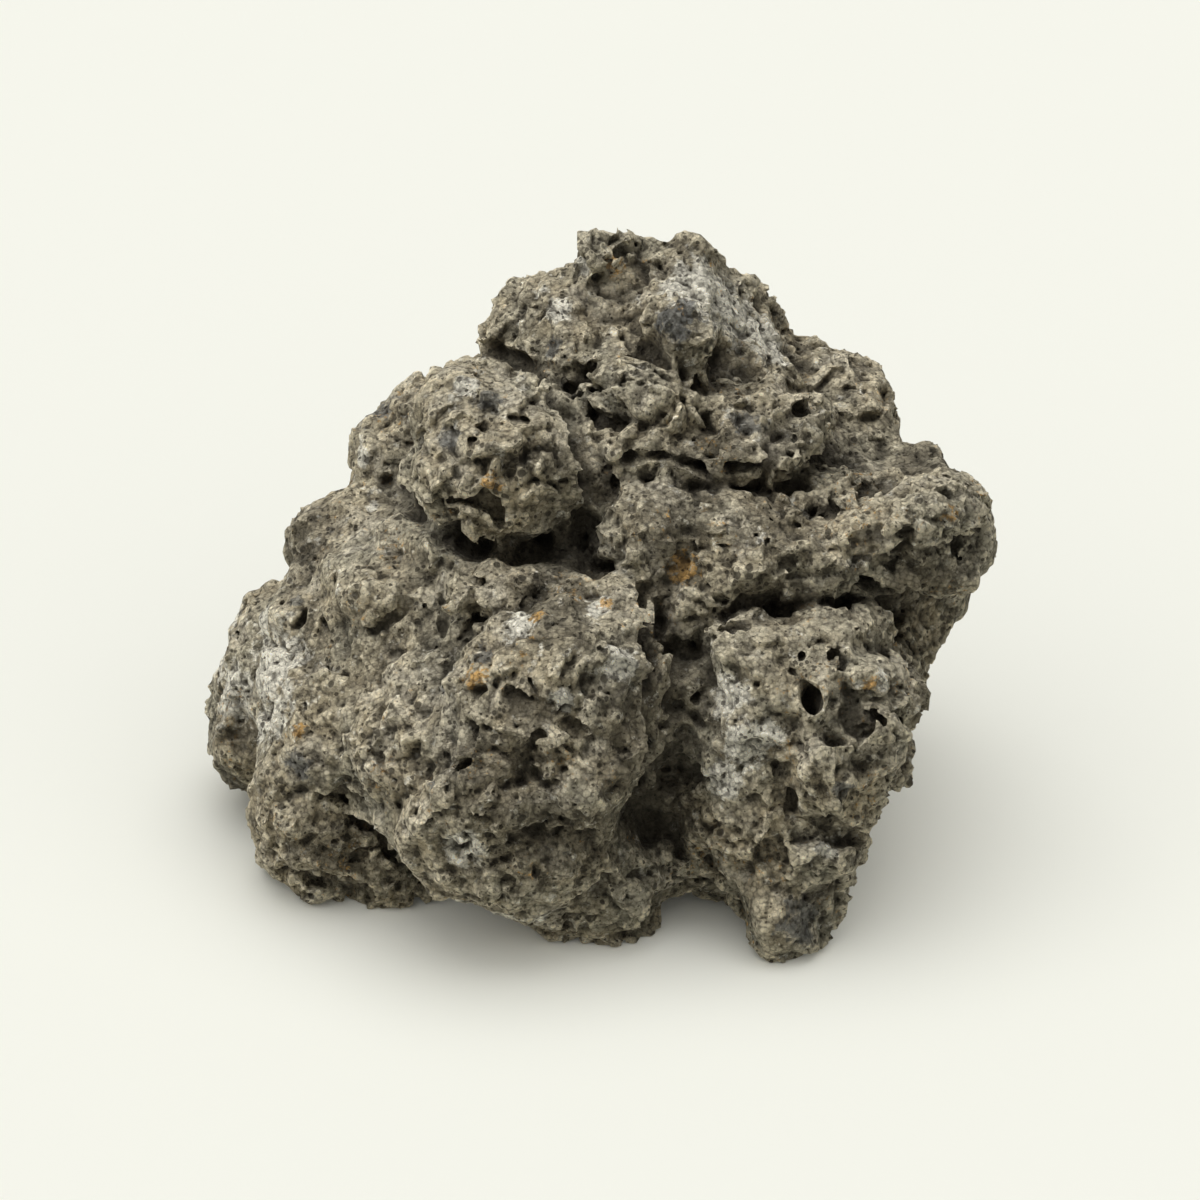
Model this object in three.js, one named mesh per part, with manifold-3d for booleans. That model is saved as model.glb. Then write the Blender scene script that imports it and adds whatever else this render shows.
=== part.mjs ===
// A block of lava rock: one piece of grey-brown vesicular basalt, about 200 mm long.
//
// The rock froze as a heap of molten lobes, so it is modelled as one. A field gives each point in space
// its distance from the rock's skin: rounded blocks melted together, with crevices and gas holes pressed
// into them and smooth noise on top. A ball of facets is then drawn onto the field's skin, and the
// bottom is cut level at the feet that the rock stands on.
//
// Units are millimetres, +Z is up and +X runs along the rock's length. The origin is the middle of the
// rock's footprint, on the surface that it stands on.

import * as THREE from "three";
import { mergeVertices } from "three/addons/utils/BufferGeometryUtils.js";
import { ImprovedNoise } from "three/addons/math/ImprovedNoise.js";
import Module from "manifold-3d";

const wasm = await Module();
wasm.setup();

// Driving dimensions.
const FACET_ROWS = 21; // the ball has 20 * (FACET_ROWS + 1) ** 2 facets
const HEART = new THREE.Vector3(0, 0, 62); // a point deep inside that sees the whole skin
const REACH = 140; // farther from the heart than any of the skin
const MELT = 1.6; // how far one lobe melts into the next
const BEND_LENGTH = 46; // the noise that bends the whole rock
const BEND_DEPTH = 3;
const BOSS_LENGTH = 22; // the noise that raises bosses on the skin
const BOSS_DEPTH = 3.4;
const BOSS_MEAN = 0.6; // the bosses' mean, taken off so that they raise and sink the skin alike
const FEET_LEVEL = 2; // height at which the feet are cut level
const BLOCK = 400; // larger than the rock
const FAR_OFF = 18; // a lobe this far off melts into nothing
const MARCH = 2; // step of the search from outside towards the skin
const HALVINGS = 10; // halvings of that step
const EVEN_ROUNDS = 12; // rounds that even out the facets
const EVEN_SHARE = 0.5; // how far a corner moves to the middle of its neighbours in a round
const PROBE = 0.5; // how far apart the skin's slope is measured
const LEAST_STEEP = 0.3; // keeps a corner from leaping where the slope is slight

const STONE = { color: 0x7a7466, roughness: 0.95, metalness: 0 };

// The lobes: name, middle, half sizes, turn in degrees about X, Y and Z, and how square the block is,
// from 2, an ellipsoid, upwards.
const LOBES = [
  ["heart", [0, 14, 56], [56, 46, 44], [0, 0, 0], 2.6],

  ["front pillow", [-35, -46, 46], [27, 34, 35], [-8, 28, 6], 3.8],
  ["front shoulder", [-18, -44, 71], [18, 26, 19], [12, 12, 0], 3.4],
  ["front chin", [-20, -50, 17], [19, 22, 17], [0, 0, 0], 2.8],
  ["left slope", [-55, -19, 52], [41, 36, 32], [47, -31, 0], 4],
  ["left cheek", [-49, -47, 44], [24, 22, 26], [0, -25, 10], 3],
  ["left undercut", [-72, -29, 18], [28, 23, 19], [0, 0, 15], 3],
  ["left saddle", [-50, -16, 77], [26, 22, 17], [22, -12, 0], 3],
  ["left brow", [-78, 2, 71], [18, 18, 17], [20, -20, 20], 3],
  ["left ear", [-100, 8, 33], [15, 22, 28], [0, 12, 0], 3],
  ["left foot", [-68, -40, 8], [12, 11, 10], [0, 0, 0], 2.4],

  ["knob", [-36, -16, 105], [24, 22, 22], [15, 10, 25], 3.4],
  ["rear ridge", [-54, 20, 95], [22, 14, 21], [0, -38, 0], 3],

  ["crown left", [-13, 8, 121], [32, 31, 16], [38, -16, 0], 3.5],
  ["crown right", [13, 12, 117], [24, 30, 14], [36, 36, 0], 3.5],
  ["nose", [11, -13, 109], [31, 16, 13], [28, 0, 0], 3.2],
  ["left horn", [-12, 20, 147], [8, 10, 9], [0, 0, 0], 2.4],
  ["right horn", [1, 25, 140], [12, 12, 12], [0, 0, 0], 3],
  ["fin", [2, -6, 134], [6, 8, 12], [0, 10, 0], 2.4],
  ["right tower", [43, 27, 102], [15, 16, 18], [0, 15, 0], 3.4],
  ["tower root", [42, 12, 103], [20, 18, 12], [0, 20, 0], 2.8],

  ["ledge", [41, -17, 88], [38, 26, 15], [2, -12, 12], 5],
  ["ledge tip", [67, -2, 83], [12, 18, 15], [0, 34, 0], 3.8],
  ["ledge keel", [66, -6, 73], [15, 17, 13], [0, 0, 0], 3],
  ["ledge root", [15, -24, 87], [20, 19, 15], [20, 0, 0], 3],
  ["small knob", [19, -50, 73], [8, 9, 10], [0, 0, 0], 2.4],

  ["right shoulder", [33, -44, 45], [24, 28, 31], [-8, 14, -12], 4],
  ["right flank", [41, -14, 46], [20, 30, 28], [0, 26, 0], 3.4],
  ["right shin", [29, -54, 22], [15, 18, 17], [0, 0, 0], 3],
  ["right foot", [29, -66, 9], [9, 11, 11], [0, 0, 0], 2.6],
  ["belly", [12, -38, 40], [24, 24, 36], [0, 0, 0], 3],

  ["back left", [-46, 38, 42], [36, 30, 34], [0, -8, 15], 3],
  ["back middle", [12, 54, 42], [36, 24, 36], [10, 0, -10], 3],
  ["back hump", [6, 34, 98], [32, 24, 30], [10, 0, 20], 3],
  ["back spur", [-26, 46, 76], [22, 20, 30], [0, -20, 0], 3],
  ["back right", [42, 34, 58], [25, 28, 32], [0, 14, -20], 3],
  ["back shelf", [22, 60, 68], [20, 14, 18], [20, 0, 0], 2.8],
  ["back foot", [8, 50, 12], [26, 18, 14], [0, 0, 0], 2.4],
];

// The crevices between lobes: name, how wide and how deep each one is pressed, and the points that it
// passes.
const CREVICES = [
  ["above the knob", 9, 13, [[-38, 6, 128], [-26, 0, 126], [-17, -4, 120]]],
  ["behind the knob", 9, 13, [[-17, -4, 120], [-10, -12, 114], [-6, -22, 106], [-3, -28, 98]]],
  ["under the knob", 10, 4, [[-45, -24, 88], [-30, -34, 88], [-12, -34, 90]]],
  ["left of the knob", 8, 7, [[-52, -8, 112], [-53, -16, 100], [-45, -24, 88]]],
  ["under the nose", 10, 13, [[-2, -30, 108], [12, -34, 102], [30, -32, 104], [44, -16, 108], [54, 0, 110]]],
  ["under the ledge", 9, 12, [[14, -46, 76], [30, -48, 76], [50, -42, 77], [66, -28, 72], [78, -12, 64]]],
  ["left of the fin", 8, 9, [[-8, 10, 144], [-9, 0, 134], [-4, -10, 127]]],
  ["under the fin", 8, 9, [[-4, -10, 127], [10, -12, 124]]],
  ["right of the fin", 8, 9, [[10, -12, 124], [14, 0, 130], [12, 10, 138]]],
  ["top notch", 6, 7, [[-1, 36, 148], [-1, 22, 152], [-1, 12, 146]]],
  ["cheek groove", 8, 3, [[-27, -48, 86], [-45, -42, 78], [-60, -34, 70], [-72, -24, 62]]],
  ["tower groove", 8, 7, [[34, 24, 132], [42, 8, 122], [52, -2, 112]]],
  ["ledge slot", 6, 5, [[56, -44, 92], [66, -36, 92], [76, -30, 90]]],
  ["shoulder hole", 8, 8, [[52, -62, 68], [53, -64, 62]]],
  ["shin groove", 7, 4, [[30, -70, 24], [38, -72, 14]]],
];

const noise = new ImprovedNoise();
const spot = new THREE.Vector3();

/** Smooth noise at a point, about -1 to 1. Layer picks one of several unlike fields. */
function smoothNoise(x, y, z, length, layer) {
  const shift = 31.7 * layer;
  return noise.noise(x / length + shift, y / length - shift, z / length + 2 * shift);
}

/** A lobe's distance function: how far a point is outside the rounded block, along the ray to its middle. */
function lobeDistance([, middle, halfSizes, turn, square]) {
  const [cx, cy, cz] = middle;
  const [sx, sy, sz] = halfSizes;
  const unturn = new THREE.Matrix4()
    .makeRotationFromEuler(new THREE.Euler(...turn.map(THREE.MathUtils.degToRad)))
    .transpose().elements;
  const widest = Math.max(...halfSizes) * 3 ** (1 / 2 - 1 / square);
  return (x, y, z) => {
    const dx = x - cx;
    const dy = y - cy;
    const dz = z - cz;
    const far = Math.hypot(dx, dy, dz);
    if (far > widest + FAR_OFF) return FAR_OFF;
    const lx = Math.abs(unturn[0] * dx + unturn[4] * dy + unturn[8] * dz) / sx;
    const ly = Math.abs(unturn[1] * dx + unturn[5] * dy + unturn[9] * dz) / sy;
    const lz = Math.abs(unturn[2] * dx + unturn[6] * dy + unturn[10] * dz) / sz;
    const reach = (lx ** square + ly ** square + lz ** square) ** (1 / square);
    return reach > 0.01 ? far * (1 - 1 / reach) : -FAR_OFF;
  };
}

/** How far a point is from a line through points, as a function. */
function lineDistance(points) {
  const pieces = points.slice(1).map((end, i) => new THREE.Line3(points[i], end));
  const point = new THREE.Vector3();
  const nearest = new THREE.Vector3();
  return (x, y, z) => {
    point.set(x, y, z);
    const near = pieces.map((piece) => piece.closestPointToPoint(point, true, nearest).distanceTo(point));
    return Math.min(...near);
  };
}

const lobes = LOBES.map(lobeDistance);

/** How far a point is outside the melted lobes, less than 0 inside. */
function lobeField(x, y, z) {
  const bx = x + BEND_DEPTH * smoothNoise(x, y, z, BEND_LENGTH, 1);
  const by = y + BEND_DEPTH * smoothNoise(x, y, z, BEND_LENGTH, 2);
  const bz = z + BEND_DEPTH * smoothNoise(x, y, z, BEND_LENGTH, 3);
  let sum = 0;
  for (const distance of lobes) sum += Math.exp(-distance(bx, by, bz) / MELT);
  return -MELT * Math.log(sum);
}

/** How far a point is outside the rock's skin, less than 0 inside. */
function field(x, y, z) {
  const large = Math.abs(smoothNoise(x, y, z, BOSS_LENGTH, 4));
  const small = Math.abs(smoothNoise(x, y, z, BOSS_LENGTH / 2, 5));
  let pressed = 0;
  spot.set(x, y, z);
  for (const { width, depth, box, distance } of crevices) {
    if (!box.containsPoint(spot)) continue;
    const near = 1 - distance(x, y, z) / width;
    if (near > 0) pressed += depth * near ** 2;
  }
  return lobeField(x, y, z) - BOSS_DEPTH * (2 * large + small - BOSS_MEAN) + pressed;
}

/** The slope of a distance function at a point: the way that the skin faces there. */
function slopeAt(distance, { x, y, z }) {
  return new THREE.Vector3(
    distance(x + PROBE, y, z) - distance(x - PROBE, y, z),
    distance(x, y + PROBE, z) - distance(x, y - PROBE, z),
    distance(x, y, z + PROBE) - distance(x, y, z - PROBE),
  ).divideScalar(2 * PROBE);
}

/** Slides a point along the slope of a distance function towards its skin. */
function settle(point, distance) {
  const slope = slopeAt(distance, point);
  const steep = Math.max(slope.lengthSq(), LEAST_STEEP);
  return point.addScaledVector(slope, -distance(point.x, point.y, point.z) / steep);
}

const crevices = CREVICES.map(([, width, depth, route]) => {
  const points = route.map((corner) => settle(settle(new THREE.Vector3(...corner), lobeField), lobeField));
  const box = new THREE.Box3().setFromPoints(points).expandByScalar(width);
  return { width, depth, box, distance: lineDistance(points) };
});

/** The outermost point of the skin on a ray from the heart. */
function skinPoint(ray) {
  const at = (far) => HEART.clone().addScaledVector(ray, far);
  const outsideAt = (far) => field(...at(far)) > 0;
  let outside = REACH;
  while (outsideAt(outside)) outside -= MARCH;
  let inside = outside;
  outside += MARCH;
  for (let halving = 0; halving < HALVINGS; halving++) {
    const middle = (inside + outside) / 2;
    if (outsideAt(middle)) outside = middle;
    else inside = middle;
  }
  return at(outside);
}

/** A ball of facets drawn onto the skin, with its vertices evened out over it. */
function skinMesh() {
  const ball = new THREE.IcosahedronGeometry(1, FACET_ROWS);
  ball.deleteAttribute("normal");
  ball.deleteAttribute("uv");
  const merged = mergeVertices(ball, 1e-4);
  const position = merged.getAttribute("position");
  const index = merged.index.array;
  const neighbours = Array.from({ length: position.count }, () => new Set());
  for (let i = 0; i < index.length; i += 3)
    for (let k = 0; k < 3; k++) {
      neighbours[index[i + k]].add(index[i + ((k + 1) % 3)]);
      neighbours[index[i + k]].add(index[i + ((k + 2) % 3)]);
    }
  const ray = new THREE.Vector3();
  let points = neighbours.map((_, i) => skinPoint(ray.fromBufferAttribute(position, i).normalize()));
  for (let round = 0; round < EVEN_ROUNDS; round++) {
    points = points.map((point, i) => {
      const middle = new THREE.Vector3();
      for (const k of neighbours[i]) middle.add(points[k]);
      middle.divideScalar(neighbours[i].size);
      return settle(point.clone().lerp(middle, EVEN_SHARE), field);
    });
  }
  points.forEach((point, i) => position.setXYZ(i, point.x, point.y, point.z));
  return merged;
}

/** A geometry with merged vertices as a manifold-3d solid. */
function solidOf(geometry) {
  return new wasm.Manifold(
    new wasm.Mesh({
      numProp: 3,
      vertProperties: geometry.getAttribute("position").array,
      triVerts: new Uint32Array(geometry.index.array),
    }),
  );
}

const box = new THREE.BoxGeometry(BLOCK, BLOCK, BLOCK).translate(0, 0, FEET_LEVEL - BLOCK / 2);
box.deleteAttribute("normal");
box.deleteAttribute("uv");
const ground = solidOf(mergeVertices(box));
const rock = solidOf(skinMesh()).subtract(ground);

const cut = rock.getMesh();
const geometry = new THREE.BufferGeometry();
geometry.setAttribute("position", new THREE.BufferAttribute(cut.vertProperties, 3));
geometry.setIndex(new THREE.BufferAttribute(cut.triVerts, 1));
geometry.computeBoundingBox();
const { min, max } = geometry.boundingBox;
geometry.translate(-(min.x + max.x) / 2, -(min.y + max.y) / 2, -min.z);

const mesh = new THREE.Mesh(geometry, new THREE.MeshStandardMaterial(STONE));
mesh.name = "lava_rock";

const group = new THREE.Group();
group.add(mesh);
export default group;
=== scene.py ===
"""Lava rock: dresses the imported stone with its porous, crumbly skin.

The rock is one natural piece. Its skin is worked out as a block of depths, one number
for each point of a fine grid that says how far the point is from the skin. Lumps, chunks
and broken layers are raised in that block, clefts, hollows, gas holes and a sponge are
cut in it, and the skin is then drawn off it as one closed mesh. Sculpting sizes are in
millimetres from the middle of the rock's underside, and the finished mesh is in metres.
"""

import logging
import math
from collections.abc import Callable
from concurrent.futures import ThreadPoolExecutor
from dataclasses import dataclass, field, replace
from enum import Enum
from functools import cached_property

import bpy
import numpy as np
import openvdb as vdb
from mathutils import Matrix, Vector
from numpy.typing import NDArray

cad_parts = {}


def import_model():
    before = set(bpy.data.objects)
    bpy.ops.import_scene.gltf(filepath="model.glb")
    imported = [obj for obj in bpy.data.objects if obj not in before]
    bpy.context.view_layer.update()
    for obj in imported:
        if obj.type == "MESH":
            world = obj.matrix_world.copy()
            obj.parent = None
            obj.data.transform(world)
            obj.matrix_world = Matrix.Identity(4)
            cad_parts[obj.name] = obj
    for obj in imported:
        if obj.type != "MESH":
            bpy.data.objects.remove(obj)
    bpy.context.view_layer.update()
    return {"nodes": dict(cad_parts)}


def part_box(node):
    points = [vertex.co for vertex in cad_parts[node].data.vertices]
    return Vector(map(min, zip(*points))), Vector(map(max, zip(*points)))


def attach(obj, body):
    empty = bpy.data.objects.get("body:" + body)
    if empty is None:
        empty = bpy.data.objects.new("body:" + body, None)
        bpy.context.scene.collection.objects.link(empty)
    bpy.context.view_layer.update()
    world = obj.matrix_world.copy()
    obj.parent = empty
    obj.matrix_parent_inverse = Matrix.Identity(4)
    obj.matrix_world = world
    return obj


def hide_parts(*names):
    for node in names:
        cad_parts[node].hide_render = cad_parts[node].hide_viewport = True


Floats = NDArray[np.float32]
Ints = NDArray[np.int32]
Triple = tuple[float, float, float]
Colour = tuple[float, float, float, float]
Spot = tuple[float, float, float, float]
Socket = bpy.types.NodeSocket

LOG = logging.getLogger("lava_rock")
NODE = "lava_rock"
BODY = "root"
MM = 0.001

# Cells along each side of a scatter before it repeats.
LATTICE = 32
THREADS = 4
# Points that a thread works on at a time.
CHUNK = 120_000
# How many standard deviations a blur reaches to each side.
BLUR_REACH = 2.6
# Cells that a block has beyond its outermost depths.
SPARE_CELLS = 3
# Share of the block's kept depths that counts as near the skin.
BAND = 0.97
# How often a place is moved onto the skin, and how much of the way each time.
SETTLE_STEPS = 6
SETTLE_SHARE = 0.9
# Limit of a cloud's random numbers, which brings its highest places to about 1.
CLOUD_DRAW = 2.7
# Random numbers that a cloud needs beyond the block's last cell.
CLOUD_SPARE = 5
# A distance longer than any in the block, mm.
FAR = 1e3
# Radius that stands for no hole, mm.
NO_HOLE = -1e2
TINY = np.float32(1e-6)
# The eight corners of a cell.
CORNERS = tuple((i & 1, (i >> 1) & 1, i >> 2) for i in range(8))


def blurred(block: Floats, spread: float) -> Floats:
    """Blurs a block along its three sides in turn.

    Each value becomes the mean of its neighbours, weighted by the bell curve
    exp(-d^2 / (2 spread^2)).

    Args:
        block: Values on a regular grid.
        spread: Standard deviation, in grid steps.

    Returns:
        The blurred block.
    """
    reach = max(1, math.ceil(spread * BLUR_REACH))
    weights = np.exp(-0.5 * (np.arange(-reach, reach + 1) / spread) ** 2)
    weights = (weights / weights.sum()).astype(np.float32)
    out = block
    for axis in range(3):
        out = blurred_along(out, weights, axis)
    return out


def blurred_along(block: Floats, weights: Floats, axis: int) -> Floats:
    """Weighted mean of each value's neighbours along one side of the block.

    Args:
        block: Values on a regular grid.
        weights: Weight of each neighbour, which add up to one.
        axis: The side.

    Returns:
        The blurred block.
    """
    reach = len(weights) // 2
    size = block.shape[axis]
    work = np.moveaxis(block, axis, 0)
    padded = np.concatenate([work[:1].repeat(reach, 0), work, work[-1:].repeat(reach, 0)])
    total = padded[:size] * weights[0]
    for k in range(1, len(weights)):
        total += padded[k : k + size] * weights[k]
    return np.ascontiguousarray(np.moveaxis(total, 0, axis))


def sampled(block: Floats, places: Floats) -> Floats:
    """Reads a block between its grid points.

    The eight corners of the cell round a place are mixed by how near they are.

    Args:
        block: Values on a regular grid.
        places: Places in grid steps from the block's first corner.

    Returns:
        The value at each place.
    """
    top = np.array(block.shape) - 2
    base = np.clip(np.floor(places).astype(np.int32), 0, top)
    f = np.clip(places - base, 0, 1)
    total = np.zeros(len(places), np.float32)
    for step in CORNERS:
        share = np.prod(np.where(np.array(step) == 1, f, 1 - f), axis=1)
        i, j, k = (base + np.array(step)).T
        total += block[i, j, k] * share.astype(np.float32)
    return total


def in_threads(work: Callable[[Floats], Floats], points: Floats) -> Floats:
    """Runs a sum over all the points, a chunk to each thread.

    Args:
        work: The sum, which takes some of the points.
        points: Places, one row each.

    Returns:
        What it gives for all of them.
    """
    starts = range(0, len(points), CHUNK)
    with ThreadPoolExecutor(THREADS) as pool:
        return np.concatenate(list(pool.map(lambda s: work(points[s : s + CHUNK]), starts)))


def triples(items: bpy.types.bpy_prop_collection, name: str, kind: type) -> NDArray[np.number]:
    """Reads the three numbers that each item of a mesh has under a name, one row each."""
    values = np.empty(len(items) * 3, kind)
    items.foreach_get(name, values)
    return values.reshape(-1, 3)


def smooth_step(value: Floats, low: float, high: float) -> Floats:
    """Turns a value into 0 at low and 1 at high, by 3t^2 - 2t^3."""
    t = np.clip((value - low) / (high - low), 0, 1)
    return t * t * (3 - 2 * t)


@dataclass
class StoneBlock:
    """The rock as a block of depths on a regular grid.

    Attributes:
        step: Grid step, mm.
        inner: How deep below the skin the depths are kept, mm.
        outer: How far above the skin they are kept, mm.
        softening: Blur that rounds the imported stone's facets, mm.
        crisping: How much its ridges are raised and its creases sunk.
        crisp_size: How wide those ridges and creases are, mm.
        origin: Place of the block's first point, mm.
        depth: Distance from the skin at each point, mm, below zero inside.
    """

    step: float = 0.75
    inner: float = 11.0
    outer: float = 5.0
    softening: float = 0.9
    crisping: float = 0.9
    crisp_size: float = 4.0
    origin: Floats = field(init=False)
    depth: Floats = field(init=False)

    def load(self, source: bpy.types.Object) -> None:
        """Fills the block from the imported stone's faces, with the facets rounded.

        The lobes' ridges and creases are made crisper by adding to each depth its
        difference from a wide blur.

        Args:
            source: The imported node's object, whose mesh is only read.
        """
        mesh = source.data
        mesh.calc_loop_triangles()
        corners = np.round(triples(mesh.vertices, "co", np.float32) / MM, 3)
        places, merged = np.unique(corners, axis=0, return_inverse=True)
        faces = merged.reshape(-1)[triples(mesh.loop_triangles, "vertices", np.int32)]
        spare = math.ceil(self.outer / self.step) + SPARE_CELLS
        low = np.floor(places.min(0) / self.step).astype(int) - spare
        high = np.ceil(places.max(0) / self.step).astype(int) + spare
        grid = vdb.FloatGrid.createLevelSetFromPolygons(
            places.astype(np.float32),
            triangles=faces.astype(np.uint32),
            transform=vdb.createLinearTransform(voxelSize=self.step),
            exBandWidth=self.outer / self.step,
            inBandWidth=self.inner / self.step,
        )
        self.depth = np.empty(high - low, np.float32)
        grid.copyToArray(self.depth, ijk=tuple(int(v) for v in low))
        self.depth = blurred(self.depth, self.softening / self.step)
        wide = blurred(self.depth, self.crisp_size / self.step)
        self.depth += self.crisping * (self.depth - wide)
        self.origin = low.astype(np.float32) * np.float32(self.step)

    def swell(self, place: Triple, size: Triple, blend: float) -> None:
        """Adds an egg of stone that flows into what is there.

        The egg's depth is the distance from its middle over its size, less one, times its
        smallest size. The two depths a and b are joined by the smooth minimum
        h a + (1 - h) b - blend h (1 - h), where h is a half plus (b - a) over twice the blend.

        Args:
            place: The egg's middle, mm.
            size: Its half sizes, mm.
            blend: How wide the joint between the two is, mm.
        """
        middle, half = np.array(place), np.array(size)
        low = np.floor((middle - half - blend - self.origin) / self.step).astype(int).clip(0)
        high = np.ceil((middle + half + blend - self.origin) / self.step).astype(int)
        part = self.depth[tuple(slice(a, b) for a, b in zip(low, high))]
        steps = [low[k] + np.arange(n) for k, n in enumerate(part.shape)]
        ways = (self.origin[k] + self.step * steps[k] - middle[k] for k in range(3))
        x, y, z = ((way / size) ** 2 for way, size in zip(ways, half))
        away = np.sqrt(x[:, None, None] + y[:, None] + z)
        egg = (away - 1) * half.min()
        h = np.clip(0.5 + (part - egg) / (2 * blend), 0, 1)
        part[...] = h * egg + (1 - h) * part - blend * h * (1 - h)

    def near_skin(self) -> tuple[Ints, Floats]:
        """Finds the grid points near the skin.

        Returns:
            Their places in the flat block, and their places in mm.
        """
        below, above = self.inner * BAND, self.outer * BAND
        rows = np.flatnonzero((self.depth > -below) & (self.depth < above))
        ijk = np.stack(np.unravel_index(rows, self.depth.shape), axis=1)
        return rows, ijk.astype(np.float32) * np.float32(self.step) + self.origin

    def near(self, points: Floats, low: Floats, high: Floats) -> Ints:
        """Finds the points inside a box, among points in the block's own order.

        The block runs along X first, so the points between two values of X stand together.

        Args:
            points: Places, mm, in the block's order.
            low: Lowest corner of the box.
            high: Highest corner of the box.

        Returns:
            Which of the points are inside.
        """
        first, last = np.searchsorted(points[:, 0], [low[0], high[0]])
        some = points[first:last, 1:]
        return first + np.flatnonzero(((some > low[1:]) & (some < high[1:])).all(1))

    def outward(self, rows: Ints) -> Floats:
        """Works out the way out of the stone at grid points, from their neighbours' depths.

        Args:
            rows: Places in the flat block.

        Returns:
            A unit step outwards for each point.
        """
        flat = self.depth.reshape(-1)
        _, ny, nz = self.depth.shape
        slope = np.stack([flat[rows + s] - flat[rows - s] for s in (ny * nz, nz, 1)], 1)
        return slope / (np.linalg.norm(slope, axis=1, keepdims=True) + TINY)

    def read(self, block: Floats, points: Floats) -> Floats:
        """Reads a block of this one's shape at places in mm."""
        scale = np.float32(1 / self.step)
        return in_threads(lambda p: sampled(block, (p - self.origin) * scale), points)

    def settled(self, points: Floats) -> Floats:
        """Moves places onto the skin.

        Each place moves against the slope of the depths by its own depth, a few times.

        Args:
            points: Places near the skin, mm.

        Returns:
            The places on the skin.
        """
        out = points.astype(np.float32)
        for _ in range(SETTLE_STEPS):
            depth = self.read(self.depth, out)[:, None]
            out = out - self.way_out(out, self.step) * depth * np.float32(SETTLE_SHARE)
        return out

    def way_out(self, points: Floats, step: float) -> Floats:
        """Works out the way out of the stone at any places, from depths a step away.

        Args:
            points: Places, mm.
            step: How far away the depths are read, mm.

        Returns:
            A unit step outwards for each place.
        """
        slope = np.empty((len(points), 3), np.float32)
        for k, way in enumerate(np.eye(3, dtype=np.float32) * np.float32(step)):
            slope[:, k] = self.read(self.depth, points + way) - self.read(self.depth, points - way)
        return slope / (np.linalg.norm(slope, axis=1, keepdims=True) + TINY)

    def skin(self) -> tuple[Floats, Ints]:
        """Draws the closed skin off the block, where the depth is zero.

        Returns:
            Corner places in mm, and four-cornered faces.
        """
        grid = vdb.FloatGrid(self.outer)
        grid.transform = vdb.createLinearTransform(voxelSize=self.step)
        grid.copyFromArray(self.depth)
        points, quads = grid.convertToQuads(isovalue=0.0)
        return points + self.origin, quads.astype(np.int32)

    def solid_share(self, points: Floats, spread: float) -> Floats:
        """Works out how much stone stands round each point.

        The block is made one inside and zero outside, blurred by a bell curve, and read
        at the points. It is a half on a flat skin, more in a hollow and less on a crest.

        Args:
            points: Places, mm, one row each.
            spread: Standard deviation of the bell curve, mm.

        Returns:
            Share of stone round each point.
        """
        solid = blurred(np.clip(0.5 - self.depth / self.step, 0, 1), spread / self.step)
        return self.read(solid, points)


@dataclass(frozen=True)
class Clouds:
    """Smooth random clouds over the whole block.

    Attributes:
        size: Distance between the random numbers, mm. A cloud is about twice as wide.
        seed: Seed of the random numbers.
        strength: How strong the clouds are.
    """

    size: float
    seed: int
    strength: float = 1.0

    def over(self, block: StoneBlock, rows: Ints) -> Floats:
        """Works the clouds out at points of the block.

        Random numbers stand on a coarse lattice, and a cubic B-spline joins them along
        each side in turn, by one product with the spline's weights.

        Args:
            block: The block, whose grid is used.
            rows: Places in the flat block.

        Returns:
            Numbers of about -1 to 1, zero on average, times the strength.
        """
        places = [np.arange(n) * block.step / self.size for n in block.depth.shape]
        counts = [int(p[-1]) + CLOUD_SPARE for p in places]
        draw = np.random.default_rng(self.seed).uniform(-CLOUD_DRAW, CLOUD_DRAW, counts)
        table = draw.astype(np.float32)
        for place, count in zip(places, counts):
            table = np.tensordot(table, spline_weights(place, count), axes=([0], [1]))
        return table.reshape(-1)[rows] * np.float32(self.strength)


def spline_weights(places: NDArray[np.float64], count: int) -> Floats:
    """Cubic B-spline weights of a lattice's numbers at places between them.

    Args:
        places: Places, in lattice steps.
        count: How many numbers the lattice has.

    Returns:
        A row of weights for each place.
    """
    base = np.floor(places).astype(int)
    t = places - base
    four = [(1 - t) ** 3, 3 * t**3 - 6 * t**2 + 4, 3 * (t + t**2 - t**3) + 1, t**3]
    out = np.zeros((len(places), count), np.float32)
    for k, weight in enumerate(four):
        out[np.arange(len(places)), base + k] = weight / 6
    return out


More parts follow.
